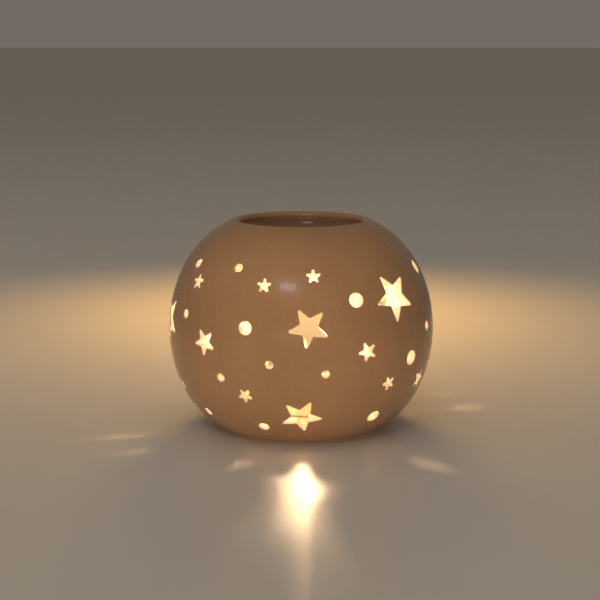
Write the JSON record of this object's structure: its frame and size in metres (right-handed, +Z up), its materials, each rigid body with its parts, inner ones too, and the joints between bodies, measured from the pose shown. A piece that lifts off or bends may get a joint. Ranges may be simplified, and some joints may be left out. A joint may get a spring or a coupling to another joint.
{
  "type": "tealight holder",
  "caption": "Round glazed ceramic tealight holder with a shallow dish on top, stars and dots cut through its wall, an arched back opening and a tealight inside.",
  "frame": {"origin": "centre of the footprint, on the surface that the globe stands on", "axes": "+Z up along the globe's axis, -Y to the front, +Y out of the arched opening at the back, +X to the right seen from the front"},
  "size_m": [0.136, 0.1357, 0.1069],
  "materials": {
    "glazed_ceramic": "glossy warm taupe glaze outside, cream inside",
    "cup_aluminium": "thin pressed aluminium, satin",
    "candle_wax": "paraffin wax, soft sheen, molten on top",
    "wick_cotton": "braided cotton, waxed below and charred at the tip",
    "tab_steel": "thin tinned steel"
  },
  "bodies": {
    "globe": {"globe_body": "glazed_ceramic"},
    "cup": {"tealight_cup": "cup_aluminium"},
    "candle": {"tealight_wax": "candle_wax", "wick": "wick_cotton", "wick_sustainer": "tab_steel"}
  },
  "joints": [
    {"name": "tealight_slide", "type": "slide", "parent": "globe", "child": "cup", "axis": [0, 1, 0], "range_m": [0, 0.1]},
    {"name": "wax_lift", "type": "slide", "parent": "cup", "child": "candle", "axis": [0, 0, 1], "range_m": [0, 0.018]}
  ]
}
